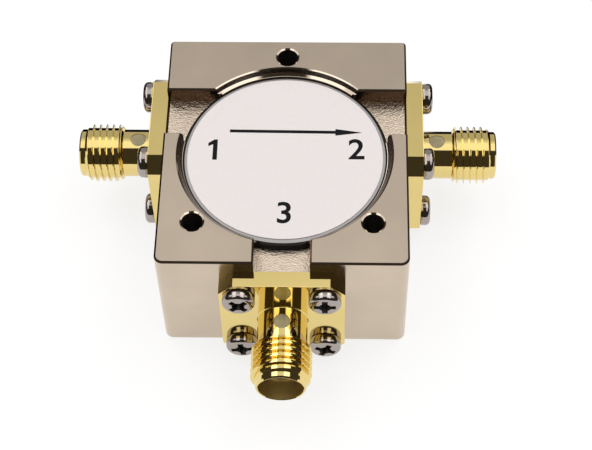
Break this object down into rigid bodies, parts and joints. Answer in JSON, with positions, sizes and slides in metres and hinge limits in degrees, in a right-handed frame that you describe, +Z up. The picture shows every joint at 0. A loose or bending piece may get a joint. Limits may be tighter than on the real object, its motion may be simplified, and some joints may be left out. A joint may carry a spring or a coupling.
{
  "type": "rf circulator",
  "caption": "Square metal block circulator with a round sunk lid and label, mounting holes, and threaded coaxial ports on the front and both sides.",
  "frame": {"origin": "junction axis on the underside of the block", "axes": "+X to the right port, +Y to the back, away from the front port, +Z up, out of the lid"},
  "size_m": [0.045, 0.0383, 0.015],
  "materials": {
    "nickel_plate": "fine-ground nickel plate, warm grey",
    "lid_steel": "turned and plated, satin",
    "label_paper": "white film label with a black arrow",
    "nickel_iron": "rolled sheet",
    "magnet": "ground hard ferrite",
    "pole_steel": "zinc plated",
    "ferrite": "lapped garnet",
    "silver_plate": "silver plated strip",
    "gold_plate": "gold plated, polished",
    "white_dielectric": "turned PTFE",
    "resin": "cured potting resin",
    "screw_steel": "bright nickel plated"
  },
  "bodies": {
    "root": {"body_housing": "nickel_plate", "threaded_lid": "lid_steel", "round_label": "label_paper", "lower_compensation_disc": "nickel_iron", "lower_magnet": "magnet", "lower_pole_plate": "pole_steel", "lower_ferrite": "ferrite", "centre_conductor": "silver_plate", "upper_ferrite": "ferrite", "upper_pole_plate": "pole_steel", "upper_magnet": "magnet", "upper_compensation_disc": "nickel_iron", "front_connector_shell": "gold_plate", "front_insulator": "white_dielectric", "front_contact": "gold_plate", "front_potting_plug": "resin", "front_flange_screws": "screw_steel", "right_connector_shell": "gold_plate", "right_insulator": "white_dielectric", "right_contact": "gold_plate", "right_potting_plug": "resin", "right_flange_screws": "screw_steel", "left_connector_shell": "gold_plate", "left_insulator": "white_dielectric", "left_contact": "gold_plate", "left_potting_plug": "resin", "left_flange_screws": "screw_steel"}
  },
  "joints": []
}
